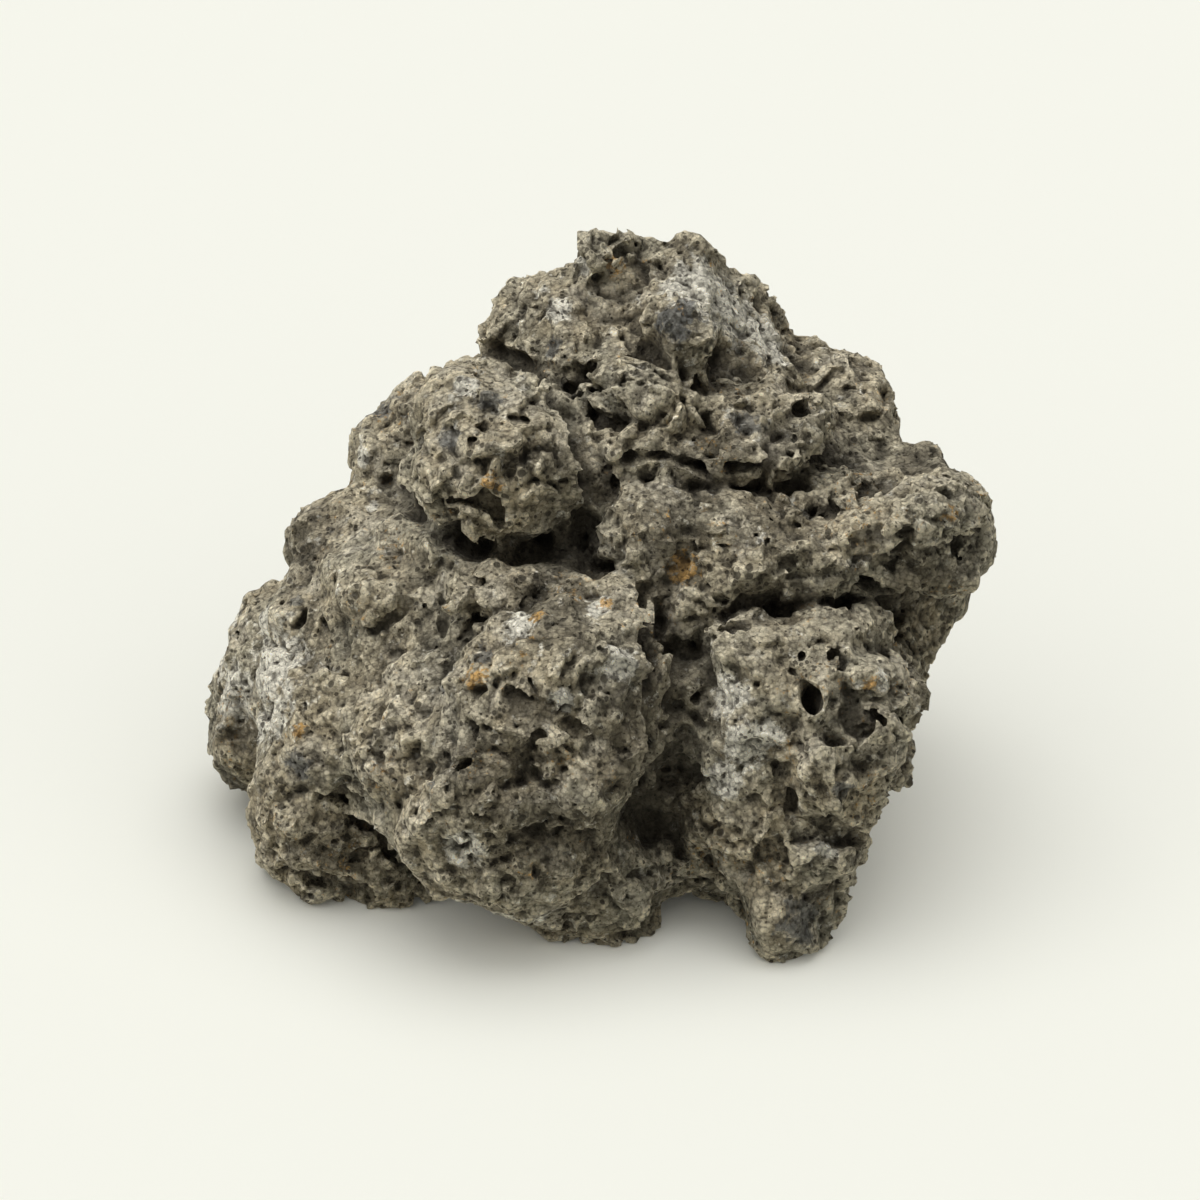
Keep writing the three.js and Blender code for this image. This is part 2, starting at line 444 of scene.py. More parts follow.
@dataclass(frozen=True)
class Scatter:
    """Centres strewn one to each cell of a cubic lattice that repeats every LATTICE cells.

    Attributes:
        spacing: Cell side, mm.
        seed: Seed of the places.
        jitter: How far a centre strays from its cell's middle, as a share of the cell.
    """

    spacing: float
    seed: int
    jitter: float = 0.38

    @cached_property
    def strays(self) -> Floats:
        """Place of each centre inside its cell, 0 to 1."""
        draw = np.random.default_rng(self.seed).uniform(-1, 1, (LATTICE**3, 3))
        return (0.5 + draw * self.jitter).astype(np.float32)

    def nearest(self, points: Floats, radii: Floats | float = 0.0) -> tuple[Floats, Ints, Floats]:
        """Finds the nearest ball of the scatter to each point.

        The ball round each centre has its own radius. The eight cells nearest to the point
        are tried, and the smallest distance less radius is kept.

        Args:
            points: Places, mm, one row each.
            radii: Radius of each ball, mm, one for each row of the table.

        Returns:
            Distance to the ball's wall, mm, below zero inside it; the ball's row; and the
            way from its centre to the point, mm.
        """
        p = points / np.float32(self.spacing)
        base = np.floor(p - np.float32(0.5)).astype(np.int32)
        best = np.full(len(points), FAR, np.float32)
        rows = np.zeros(len(points), np.int32)
        gaps = np.zeros((len(points), 3), np.float32)
        balls = np.broadcast_to(np.float32(radii), LATTICE**3)
        for step in CORNERS:
            cell = base + np.array(step, np.int32)
            c = cell & (LATTICE - 1)
            row = (c[:, 0] * LATTICE + c[:, 1]) * LATTICE + c[:, 2]
            gap = (p - cell - self.strays[row]) * np.float32(self.spacing)
            reach = np.sqrt(np.einsum("ij,ij->i", gap, gap)) - balls[row]
            closer = reach < best
            best[closer] = reach[closer]
            rows[closer] = row[closer]
            gaps[closer] = gap[closer]
        return best, rows, gaps


@dataclass(frozen=True)
class Slabs:
    """One size of angular chunks, each with its own height and tilt.

    Attributes:
        spacing: Distance between chunks, mm.
        height: How much the chunks' heights differ, mm.
        tilt: How steep their faces lean.
        dome: How far a chunk's edge falls below its middle, mm.
        seed: Seed of their places, heights and tilts.
        least: Share of the rise that is left on the calmest skin.
        gain: How much is added to that share on the wildest.
    """

    spacing: float
    height: float
    tilt: float
    dome: float
    seed: int
    least: float
    gain: float

    def rise(self, points: Floats) -> Floats:
        """Works out the rise of the skin, mm.

        Each point belongs to its nearest chunk, whose rise is its own height, plus its
        tilt times the way from its middle, less the dome times the square of the distance
        over the spacing.

        Args:
            points: Places, mm, one row each.

        Returns:
            The rise at each point, about zero on average.
        """
        rng = np.random.default_rng(self.seed + 1)
        heights = (rng.uniform(-1, 1, LATTICE**3) * self.height).astype(np.float32)
        tilts = (rng.normal(size=(LATTICE**3, 3)) * self.tilt).astype(np.float32)
        away, rows, gaps = Scatter(self.spacing, self.seed).nearest(points)
        lean = np.einsum("ij,ij->i", gaps, tilts[rows])
        fall = (away / np.float32(self.spacing)) ** 2 * 2 - np.float32(0.5)
        return heights[rows] + lean - np.float32(self.dome) * fall


@dataclass(frozen=True)
class Shelves:
    """Broken layers, each with a lip that hangs over the recess below it.

    Attributes:
        pitch: Height of a layer, mm.
        height: How far a lip stands out beyond the recess below it, mm.
        dip: How far the layers drop for each mm along X and Y.
    """

    pitch: float
    height: float
    dip: tuple[float, float]

    def rise(self, points: Floats, wander: Floats) -> Floats:
        """Works out the rise of the skin, mm.

        The height above the floor, plus the dip and the wander, is divided by the pitch,
        and the part after the point says how far up its layer a place is. The rise falls
        from half the height at the bottom of a layer to minus half at its top.

        Args:
            points: Places, mm, one row each.
            wander: How far the layers stray up at each point, mm.

        Returns:
            The rise at each point.
        """
        level = points[:, 2] + points[:, 0] * self.dip[0] + points[:, 1] * self.dip[1] + wander
        share = np.mod(level / np.float32(self.pitch), 1)
        return np.float32(self.height) * (np.float32(0.5) - share)


@dataclass(frozen=True)
class GasHoles:
    """One size of gas holes in the stone.

    Attributes:
        spacing: Distance between holes, mm.
        smallest: Radius of the smallest, mm.
        largest: Radius of the largest, mm.
        share: Share of the places that have a hole.
        seed: Seed of their places and sizes.
        jitter: How far a hole strays from its cell's middle, as a share of the cell.
    """

    spacing: float
    smallest: float
    largest: float
    share: float
    seed: int
    jitter: float = 0.25

    def air(self, points: Floats) -> Floats:
        """Depth inside the nearest hole, mm, below zero outside it.

        Args:
            points: Places, mm, one row each.

        Returns:
            The depth at each point.
        """
        rng = np.random.default_rng(self.seed + 1)
        size = self.smallest + (self.largest - self.smallest) * rng.random(LATTICE**3) ** 2
        radii = np.where(rng.random(LATTICE**3) < self.share, size, NO_HOLE).astype(np.float32)
        return -Scatter(self.spacing, self.seed, self.jitter).nearest(points, radii)[0]


@dataclass(frozen=True)
class Areas:
    """Areas of the skin that have a pattern, which is stronger where the skin is rough.

    Attributes:
        clouds: Clouds that say where they are.
        low: Where in the clouds they begin.
        high: Where they are full.
        least: How strong the pattern is on the calmest skin.
        gain: How much is added to that on the wildest.
    """

    clouds: Clouds
    low: float
    high: float
    least: float
    gain: float

    def share(self, block: StoneBlock, rows: Ints, wild: Floats) -> Floats:
        """Works out how strong the pattern is.

        Args:
            block: The block.
            rows: Places in the flat block.
            wild: How rough the skin is there, 0 to 1.

        Returns:
            Its strength at each point.
        """
        share = smooth_step(self.clouds.over(block, rows), self.low, self.high)
        return share * (self.least + self.gain * wild)


@dataclass(frozen=True)
class Openings:
    """One size of the sponge's ragged openings, cut where a cloud passes a threshold.

    Attributes:
        clouds: The cloud.
        low: Where it begins to cut.
        high: Where it cuts fully.
        deep: How deep the openings are, mm.
        least: Share of that depth where the stone is least porous.
    """

    clouds: Clouds
    low: float
    high: float
    deep: float
    least: float

    def cut(self, block: StoneBlock, rows: Ints, porous: Floats) -> Floats:
        """Works out how deep the openings are cut.

        Args:
            block: The block.
            rows: Places in the flat block.
            porous: How porous the stone is there.

        Returns:
            The cut at each point, mm.
        """
        share = smooth_step(self.clouds.over(block, rows), self.low, self.high)
        return share * self.deep * (self.least + (1 - self.least) * porous)


@dataclass(frozen=True)
class Lump:
    """A rounded lump of stone at a set place.

    Attributes:
        name: What it is.
        place: Its middle, mm.
        size: Its half sizes, mm.
    """

    name: str
    place: Triple
    size: Triple


@dataclass(frozen=True)
class Hollow:
    """A hole or dish at a set place in the skin.

    Attributes:
        name: What it is.
        place: Its middle, mm, which is moved onto the skin.
        size: Half its length, its height and its depth, mm.
        along: Way that its length runs.
    """

    name: str
    place: Triple
    size: Triple
    along: Triple = (1.0, 0.0, 0.0)


@dataclass(frozen=True)
class Cleft:
    """A crack that runs over the skin and narrows as it goes in.

    Attributes:
        name: What it is.
        half: Half its width at the skin, mm.
        depth: How deep it goes, mm.
        route: Places that it runs through, mm, which are moved onto the skin.
        lean: How far its middle moves for each mm of depth.
    """

    name: str
    half: float
    depth: float
    route: tuple[Triple, ...]
    lean: Triple = (0.0, 0.0, 0.35)


LUMPS = (
    Lump("left horn", (3, 18, 147), (8, 7, 6)),
    Lump("nose root", (9, -19, 110), (9, 7, 9)),
    Lump("nose shoulder", (13, -9, 119), (16, 11, 9)),
    Lump("under the knob", (-16, -39, 84), (19, 10, 6)),
    Lump("ledge root", (14, -27, 94), (16, 14, 12)),
    Lump("ledge back", (36, -26, 93), (20, 17, 10.5)),
    Lump("ledge back right", (56, -14, 94), (15, 14, 10)),
    Lump("under the ledge root", (20, -36, 79), (13, 11, 9)),
    Lump("right lobe top", (40, -50, 73), (15, 10, 8)),
    Lump("right lobe crest", (56, -46, 74), (12, 10, 8)),
    Lump("right lobe corner", (66, -38, 72), (9, 9, 8)),
)

CLEFTS = (
    Cleft("right of the knob, above", 4.4, 13.0, (
        (-4, -18, 119), (-1, -25, 114), (1, -28, 109), (2, -29, 104),
    )),
    Cleft("right of the knob, below", 2.8, 14.0, (
        (2, -29, 104), (2, -30, 101), (1, -31, 98), (-3, -30, 92),
    )),
    Cleft("under the knob", 3.0, 10.3, (
        (-35, -34, 92), (-21, -35, 90), (-12, -32, 90), (-3, -33, 92),
    )),
    Cleft("left of the knob", 2.2, 6.9, (
        (-50, 5, 92), (-46, -8, 94), (-41, -22, 93), (-35, -34, 92),
    )),
    Cleft("above the knob", 2.5, 6.9, (
        (-38, 10, 118), (-26, 12, 126), (-17, 6, 124), (-7, -16, 122),
    )),
    Cleft("under the nose", 1.3, 8.0, (
        (4, -28, 109), (12, -28, 110), (19, -28, 110), (24, -28, 108), (30, -28, 105),
    )),
    Cleft("nose slot", 2.2, 6.5, ((33, -27, 107), (38, -27, 108), (42, -26, 109))),
    Cleft("behind the ledge", 1.8, 6.0, ((42, -23, 112), (50, -11, 116), (59, 10, 113))),
    Cleft("under the ledge", 1.7, 10.0, (
        (31, -50, 72), (38, -50, 77), (43, -48, 79), (48, -47, 80), (53, -46, 79),
        (58, -44, 82), (67, -39, 81), (74, -33, 76),
    )),
    Cleft("right of the small knob", 1.1, 5.0, ((31, -50, 72), (29, -53, 66), (25, -54, 61))),
    Cleft("between the front lobes", 3.0, 10.3, (
        (13, -44, 84), (13, -60, 70), (13, -64, 56), (13, -62, 38), (14, -58, 26),
    )),
    Cleft("brow groove", 0.6, 3.0, (
        (-38, -40, 82), (-43, -40, 79), (-47, -40, 75), (-53, -38, 69),
    )),
    Cleft("brow crack", 1.5, 5.2, ((-56, -22, 84), (-50, -23, 85), (-46, -24, 85))),
    Cleft("knob split", 1.2, 4.6, (
        (-33, -36, 104), (-28, -39, 105), (-22, -40, 104), (-21, -39, 98),
    )),
    Cleft("crown split", 1.7, 4.6, ((7, 19, 149), (5, 16, 145), (3, 15, 142))),
    Cleft("pillow slit", 1.3, 4.5, ((-20, -70, 71), (-14, -72, 70), (-9, -72, 69))),
    Cleft("pillow crack", 0.9, 4.5, (
        (-24, -73, 64), (-19, -75, 62), (-14, -75, 61), (-10, -75, 62),
    )),
    Cleft("right lobe split", 1.6, 4.6, ((58, -71, 60), (62, -66, 60), (68, -60, 58))),
    Cleft("left foot split", 0.9, 4.6, ((-59, -48, 31), (-53, -48, 22), (-46, -49, 12))),
)

HOLLOWS = (
    Hollow("fin bowl", (17, -4, 131), (6.5, 6.0, 3.0)),
    Hollow("under the knob's left corner", (-29, -36, 92), (4.0, 3.6, 4.5)),
    Hollow("tower pit", (32, 1, 128), (4.0, 2.6, 3.4)),
    Hollow("tower pit two", (39, 2, 124), (3.0, 2.2, 3.0)),
    Hollow("nose pit", (11, -20, 115), (2.4, 2.0, 3.2)),
    Hollow("nose pit two", (43, -22, 113), (2.8, 3.2, 6.0)),
    Hollow("nose pit three", (22, -29, 111), (2.2, 3.2, 4.5)),
    Hollow("crown pit", (3, 15, 143), (1.8, 2.4, 4.0)),
    Hollow("crown dish", (-3, 14, 142), (4.0, 3.0, 2.0)),
    Hollow("ledge hole", (82, -31, 105), (1.6, 3.2, 6.0), (0, 0, 1)),
    Hollow("ledge dish", (66, -38, 96), (7.0, 3.0, 1.3)),
    Hollow("pillow pit", (-26, -69, 71), (2.4, 1.8, 4.0)),
    Hollow("pillow recess", (-13, -72, 67), (10.0, 5.0, 2.4)),
    Hollow("pillow dish", (-4, -72, 64), (3.5, 4.0, 2.2)),
    Hollow("pillow slot", (-12, -80, 51), (3.0, 1.3, 3.5)),
    Hollow("pillow slot two", (-6, -79, 54), (2.0, 1.3, 3.0)),
    Hollow("pillow slot three", (-23, -82, 47), (2.6, 1.4, 3.5)),
    Hollow("pillow nick", (-30, -80, 58), (2.4, 1.6, 3.5)),
    Hollow("right lobe hole", (51, -64, 68), (2.8, 5.0, 7.0), (0.2, 0, 0.2)),
    Hollow("right lobe slot", (58, -70, 59), (4.2, 2.2, 4.5)),
    Hollow("pale patch pit", (29, -61, 59), (1.2, 1.4, 3.5)),
    Hollow("brow pit", (-65, -14, 80), (2.6, 2.0, 2.8)),
    Hollow("slope pit", (-72, -22, 67), (2.0, 1.6, 3.2)),
    Hollow("slope pit two", (-65, -27, 67), (2.2, 1.6, 3.2)),
    Hollow("slope pit three", (-58, -38, 64), (2.4, 1.6, 3.2)),
    Hollow("slope pit four", (-49, -56, 59), (2.4, 1.8, 3.6)),
)


@dataclass(frozen=True)
class Zone:
    """A part of the skin that is rougher or calmer than the rest.

    Attributes:
        name: What it is.
        place: Its middle, mm.
        reach: How far it spreads, mm.
        wildness: How much rougher it is, below zero where it is calmer.
        lift: How far its skin is raised, mm.
    """

    name: str
    place: Triple
    reach: float
    wildness: float
    lift: float = 0.0


ZONES = (
    Zone("nose and crown", (18, -10, 122), 36.0, 0.4),
    Zone("ledge front", (54, -40, 90), 30.0, -0.5),
    Zone("pillow front", (-14, -78, 58), 30.0, 0.7),
    Zone("knob", (-30, -30, 110), 26.0, 0.4),
    Zone("right lobe", (38, -64, 55), 30.0, -0.8),
    Zone("left slope", (-68, -28, 62), 34.0, -0.4),
    Zone("pillow top", (-10, -50, 85), 22.0, -0.5),
    Zone("left ear", (-97, 10, 38), 24.0, -0.8),
    Zone("right foot", (45, -70, 14), 18.0, -0.8),
    Zone("right tower", (45, 20, 126), 26.0, -0.3),
    Zone("crown slab", (32, 10, 139), 22.0, -0.9),
    Zone("crown top", (19, 24, 148), 20.0, -0.2, -1.8),
    Zone("left brow", (-76, -2, 80), 22.0, -0.2, -2.2),
    Zone("ledge end", (84, -4, 104), 18.0, 0.0, -2.2),
    Zone("left flank", (-90, -10, 20), 26.0, -0.4, -1.5),
)


class Tint(Enum):
    """The colours laid on the stone in patches, by their place in the tint attribute; the last is
    painted shade, and a few pale patches are painted highlight.
    """

    PALE = 0
    SLATE = 1
    RUST = 2
    # Painted shade, laid in clefts and valleys, under overhangs and on sides turned from the lamps.
    PAINTED_SHADE = 3


# Where each colour is, and how far each of its patches spreads: X, Y, Z and reach, mm.
STAINS_AND_SHADE: dict[Tint, tuple[Spot, ...]] = {
    Tint.PALE: (
        (31, -61, 66, 8.0), (36, -66, 56, 8.0), (41, -67, 58, 6.0), (31, -66, 46, 7.0),
        (56, -71, 32, 4.0), (67, -61, 70, 3.5), (2, -50, 85, 5.0), (-16, -58, 83, 5.5),
        (7, -64, 76, 6.0), (-5, -72, 70, 5.0), (-29, -80, 37, 7.0), (-29, -18, 126, 5.0),
        (-8, 9, 136, 5.0), (-1, 17, 145, 4.0), (15, -16, 121, 2.5), (48, -25, 97, 5.0),
        (-57, 9, 97, 4.0), (-54, 0, 88, 3.0), (-81, -29, 43, 7.0), (-78, -33, 47, 6.0),
        (-97, 12, 45, 14.0), (-92, -8, 40, 12.0), (-86, -12, 60, 12.0), (-46, -60, 25, 6.0),
        (-51, -59, 28, 5.5), (-47, -63, 21, 5.5), (-40, -69, 17, 5.5), (-32, -72, 14, 5.5),
        # The spots at (28, 8, 143), (38, 14, 136) and (46, 16, 129) are painted highlight on the
        # right tower's upper slab.
        (-22, -73, 12, 5.5), (-12, -73, 10, 5.0), (28, 8, 143, 16.0), (38, 14, 136, 15.0),
        (46, 16, 129, 12.0), (-78, -25, 55, 14.0), (-72, -32, 46, 12.0),
    ),
    Tint.SLATE: (
        (20, -8, 141, 11.0), (-24, -23, 125, 5.0), (-33, -31, 118, 5.0), (-53, 22, 104, 10.0),
        (-64, -6, 85, 5.0), (-8, 4, 128, 4.0), (37, -17, 117, 6.0), (-24, -62, 78, 5.0),
        (-34, -60, 69, 4.0), (-70, -47, 40, 6.0), (-72, -17, 71, 4.0), (59, -74, 48, 5.0),
        (50, -73, 12, 9.0), (-35, -77, 51, 3.5),
    ),
    Tint.RUST: (
        (-22, -41, 111, 6.0), (-26, -67, 74, 5.5), (-12, -57, 84, 4.0), (4, -49, 84, 3.5),
        (22, -40, 89, 7.0), (6, 15, 145, 6.0), (65, -63, 70, 3.5), (-70, -44, 48, 4.0),
        (84, -34, 100, 5.0),
    ),
    # Painted shade: dark patches in the clefts and valleys, under the nose, knob and ledge, and on
    # the lobes' shaded sides.
    Tint.PAINTED_SHADE: (
        (15, -57, 66, 13.0), (16, -60, 50, 14.0), (17, -58, 32, 14.0), (19, -8, 139, 12.0),
        (10, -65, 70, 12.0), (10, -71, 55, 14.0), (6, -76, 36, 14.0), (-14, -73, 68, 9.0),
        (62, -48, 88, 11.0), (40, -48, 84, 9.0), (74, -48, 56, 12.0), (18, -40, 84, 8.0),
        (30, -26, 112, 12.0), (-8, -30, 112, 9.0), (-60, -46, 18, 14.0), (-22, -81, 55, 18.0),
        (-10, -82, 40, 18.0), (-44, -50, 12, 12.0), (0, -29, 104, 9.0), (-10, -54, 85, 17.0),
        (44, -34, 98, 14.0), (20, -36, 97, 12.0), (78, -38, 84, 14.0), (25, -28, 107, 12.0),
    ),
}


@dataclass
class LavaRock:
    """The whole rock: one natural piece with a crumbly, porous skin.

    Attributes:
        triangles: Triangles of the finished mesh.
        crease: Angle between faces past which the edge between them is sharp, degrees.
        cling: How nearly the chunks run straight out from the skin, 0 to 1.
        sink: How far the whole skin is sunk, so that its crumbs don't make it larger, mm.
        blend: How wide the joint between a lump and the rock is, mm.
        crease_rise: How much the creases between lumps are sunk, mm.
        ridge_rise: How much the small ridges are raised, mm.
        cleft_push: How much of the push bends a cleft.
        cleft_wobble: How much the push widens and narrows it.
        cleft_margin: How far beyond its depth a cleft is worked out, mm.
        hollow_push: How much of the push bends a hollow.
        hollow_margin: How far beyond its size a hollow is worked out, mm.
        spreads: How far round a corner its fine, broad and deep shares of stone reach, mm.
        rim: Depth in the smooth skin past which a corner counts as inside, mm.
        inmost: Depth past the rim at which its painted shade is darkest, mm.
        inside_share: How much its deep share grows with each mm.
        slabs: The sizes of angular chunks, from large to small.
        shelves: The broken layers, from thick to thin.
        holes: The sizes of gas holes, from large to small.
        pushes: Clouds that push the patterns about, one seed further for each of X, Y and Z.
        rough_areas: Clouds that say where the skin is rough.
        rough_range: Limits of those clouds, with the zones added, that count as calm and wild.
        wanders: Clouds that bend the broken layers.
        broken_areas: Where there are broken layers.
        creases: Clouds whose zero lines are creases between lumps.
        ridges: Clouds whose zero lines are small ridges.
        crumbs: The smallest bumps.
        porous_areas: Where the stone is a sponge.
        sponge: The sponge's openings, large and small.
        lumps: The lumps at set places.
        clefts: The cracks at set places.
        hollows: The holes and dishes at set places.
        zones: The rougher and calmer parts.
        zone_core: Share of a zone's reach that has its full effect.
        stains_and_shade: The patches of colour at set places, painted shade among them.
        block: The block that the skin is worked out in.
    """

    triangles: int = 196_000
    crease: float = 35.0
    cling: float = 0.85
    sink: float = 0.9
    blend: float = 3.0
    crease_rise: float = 1.3
    ridge_rise: float = 0.5
    cleft_push: float = 0.32
    cleft_wobble: float = 0.15
    cleft_margin: float = 6.0
    hollow_push: float = 0.9
    hollow_margin: float = 3.0
    spreads: Triple = (1.4, 5.0, 13.0)
    rim: float = 1.2
    inmost: float = 6.0
    inside_share: float = 0.05
    slabs: tuple[Slabs, ...] = (
        Slabs(15.0, 0.6, 0.10, 0.4, 11, 0.3, 1.2),
        Slabs(6.4, 0.4, 0.15, 0.5, 13, 0.4, 1.0),
        Slabs(3.0, 0.25, 0.17, 0.4, 15, 0.4, 0.9),
    )
    shelves: tuple[Shelves, ...] = (
        Shelves(10.5, 0.8, (0.12, 0.3)),
        Shelves(4.6, 0.4, (-0.15, 0.2)),
    )
    holes: tuple[GasHoles, ...] = (
        GasHoles(14.0, 1.1, 1.9, 0.09, 21),
        GasHoles(6.0, 0.65, 1.15, 0.24, 23),
        GasHoles(3.0, 0.55, 0.85, 0.5, 25),
    )
    pushes: tuple[Clouds, ...] = (Clouds(7.0, 31, 2.3), Clouds(2.4, 41, 0.9))
    rough_areas: Clouds = Clouds(20.0, 51, 0.7)
    rough_range: tuple[float, float] = (-1.1, 1.0)
    wanders: tuple[Clouds, ...] = (Clouds(9.0, 81, 3.5), Clouds(3.0, 82, 1.2))
    broken_areas: Areas = Areas(Clouds(12.0, 83), -0.5, 0.5, 0.4, 0.8)
    creases: Clouds = Clouds(6.0, 61)
    ridges: Clouds = Clouds(2.6, 62)
    crumbs: Clouds = Clouds(1.3, 63, 0.3)
    porous_areas: Areas = Areas(Clouds(11.0, 71), -0.8, 0.9, 0.4, 0.9)
    sponge: tuple[Openings, ...] = (
        Openings(Clouds(2.9, 72), 0.6, 0.85, 1.6, 0.3),
        Openings(Clouds(1.5, 73), 0.5, 0.8, 1.1, 0.4),
    )
    lumps: tuple[Lump, ...] = LUMPS
    clefts: tuple[Cleft, ...] = CLEFTS
    hollows: tuple[Hollow, ...] = HOLLOWS
    zones: tuple[Zone, ...] = ZONES
    zone_core: float = 0.4
    stains_and_shade: dict[Tint, tuple[Spot, ...]] = field(default_factory=lambda: STAINS_AND_SHADE)
    block: StoneBlock = field(default_factory=StoneBlock)

    def build(self, source: bpy.types.Object) -> bpy.types.Object:
        """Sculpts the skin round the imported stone.

        Args:
            source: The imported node's object.

        Returns:
            The finished piece.
        """
        block = self.block
        block.load(source)
        for lump in self.lumps:
            LOG.debug("lump %s", lump.name)
            block.swell(lump.place, lump.size, self.blend)
        rows, points = block.near_skin()
        LOG.info("block %s, %d points near the skin", block.depth.shape, len(rows))
        smooth = block.depth.copy()
        base = smooth.reshape(-1)[rows]
        push = self.push(rows)
        depth = self.crumbled(rows, points, base, push)
        LOG.info("crumbled")
        depth = self.cleft(points, base, push, depth)
        depth = self.hollowed(points, push, depth)
        block.depth.reshape(-1)[rows] = np.maximum(depth, -points[:, 2])
        LOG.info("clefts and hollows cut")
        corners, quads = block.skin()
        kept = largest_shell(len(corners), quads)
        LOG.info("skin %d faces, %d kept", len(quads), kept.sum())
        piece = mesh_object("stone", corners, quads[kept])
        self.thin(piece)
        self.mark(piece, smooth)
        return piece

    def push(self, rows: Ints) -> Floats:
        """Works out how far each point is pushed about, so that nothing is round or straight.

        Args:
            rows: Places in the flat block of the points near the skin.

        Returns:
            Steps, mm, of wide clouds and fine ones together.
        """
        out = np.zeros((len(rows), 3), np.float32)
        for k in range(3):
            for clouds in self.pushes:
                out[:, k] += replace(clouds, seed=clouds.seed + k).over(self.block, rows)
        return out

    def crumbled(self, rows: Ints, points: Floats, base: Floats, push: Floats) -> Floats:
        """Raises the chunks, broken layers and crumbs, and cuts the sponge and the gas holes.

        Where a cloud c is zero the skin has a crease, by its rise times min(|c|, 0.5) - 0.3,
        or a ridge, by its rise times 0.45 - |c|.

        Args:
            rows: Places in the flat block of the points near the skin.
            points: Their places, mm.
            base: Their depths, mm.
            push: How far they are pushed about, mm.

        Returns:
            The new depths.
        """
        outward = self.block.outward(rows)
        bent = points - outward * (base * np.float32(self.cling))[:, None] + push
        LOG.info("pushed")
        wild = self.rough_areas.over(self.block, rows)
        lift = np.full(len(rows), -self.sink, np.float32)
        for zone in self.zones:
            LOG.debug("zone %s", zone.name)
            away = np.linalg.norm(points - np.array(zone.place, np.float32), axis=1)
            share = 1 - smooth_step(away, zone.reach * self.zone_core, zone.reach)
            wild += np.float32(zone.wildness) * share
            lift += np.float32(zone.lift) * share
        wild = smooth_step(wild, *self.rough_range)
        rise = np.zeros(len(rows), np.float32)
        for slabs in self.slabs:
            rise += in_threads(slabs.rise, bent) * (slabs.least + slabs.gain * wild)
        LOG.info("slabs")
        wander = sum(clouds.over(self.block, rows) for clouds in self.wanders)
        broken = self.broken_areas.share(self.block, rows, wild)
        for shelf in self.shelves:
            rise += shelf.rise(bent, wander) * broken
        creased = np.abs(self.creases.over(self.block, rows))
        rise += np.float32(self.crease_rise) * (np.minimum(creased, 0.5) - 0.3)
        ridged = np.abs(self.ridges.over(self.block, rows))
        rise += np.float32(self.ridge_rise) * (0.45 - ridged)
        rise += self.crumbs.over(self.block, rows)
        out = base - rise - lift
        porous = self.porous_areas.share(self.block, rows, wild)
        cuts = [openings.cut(self.block, rows, porous) for openings in self.sponge]
        out += np.maximum(*cuts)
        bent = points + push
        for holes in self.holes:
            np.maximum(out, in_threads(holes.air, bent), out=out)
        LOG.info("holes")
        return out

    def cleft(self, points: Floats, base: Floats, push: Floats, depth: Floats) -> Floats:
        """Cuts the clefts.

        At a depth d below the smooth skin the cleft's half width is its width at the skin
        times 1 - (d / its depth)^2. A point's way aside is the root of the square of its
        distance from the route less the square of d.

        Args:
            points: Places of the points near the skin, mm.
            base: Their depths from the smooth skin, mm.
            push: How far they are pushed about, mm.
            depth: Their depths so far, mm.

        Returns:
            The new depths.
        """
        for cut in self.clefts:
            LOG.debug("cleft %s", cut.name)
            route = self.block.settled(np.array(cut.route, np.float32))
            reach = cut.depth + self.cleft_margin
            near = self.block.near(points, route.min(0) - reach, route.max(0) + reach)
            p = points[near] + push[near] * np.float32(self.cleft_push)
            p += np.minimum(base[near], 0)[:, None] * np.array(cut.lean, np.float32)
            away = np.full(len(near), FAR, np.float32)
            for a, b in zip(route[:-1], route[1:]):
                share = np.clip((p - a) @ (b - a) / ((b - a) @ (b - a)), 0, 1)
                gap = p - a - share[:, None] * (b - a)
                np.minimum(away, np.einsum("ij,ij->i", gap, gap), out=away)
            below = base[near]
            aside = np.sqrt(np.maximum(away - below * below, 0))
            half = cut.half * (1 + self.cleft_wobble * push[near, 0])
            half *= 1 - (np.minimum(below, 0) / cut.depth) ** 2
            depth[near] = np.maximum(depth[near], half - aside)
        return depth

    def hollowed(self, points: Floats, push: Floats, depth: Floats) -> Floats:
        """Cuts the hollows, each a rough egg whose depth runs into the stone.

        Args:
            points: Places of the points near the skin, mm.
            push: How far they are pushed about, mm.
            depth: Their depths so far, mm.

        Returns:
            The new depths.
        """
        places = self.block.settled(np.array([h.place for h in self.hollows], np.float32))
        outward = self.block.way_out(places, 2 * self.block.step)
        for hollow, place, out in zip(self.hollows, places, outward):
            LOG.debug("hollow %s", hollow.name)
            length = np.array(hollow.along, np.float32)
            length -= (length @ out) * out
            length /= np.linalg.norm(length)
            axes = np.stack([length, np.cross(out, length), out])
            reach = max(hollow.size) + self.hollow_margin
            near = self.block.near(points, place - reach, place + reach)
            p = points[near] - place + push[near] * np.float32(self.hollow_push)
            t = np.linalg.norm((p @ axes.T) / np.array(hollow.size, np.float32), axis=1)
            depth[near] = np.maximum(depth[near], (1 - t) * min(hollow.size))
        return depth

    def thin(self, piece: bpy.types.Object) -> None:
        """Merges the flattest faces until the piece has its number of triangles.

        Args:
            piece: The piece, with four-cornered faces.
        """
        made = piece.modifiers.new("thin", "DECIMATE")
        made.ratio = self.triangles / (2 * len(piece.data.polygons))
        graph = bpy.context.evaluated_depsgraph_get()
        mesh = bpy.data.meshes.new_from_object(piece.evaluated_get(graph))
        piece.modifiers.clear()
        old, piece.data = piece.data, mesh
        bpy.data.meshes.remove(old)
        mesh.name = piece.name
        mesh.shade_smooth()
        mesh.set_sharp_from_angle(angle=math.radians(self.crease))
        LOG.info("thinned to %d faces", len(mesh.polygons))

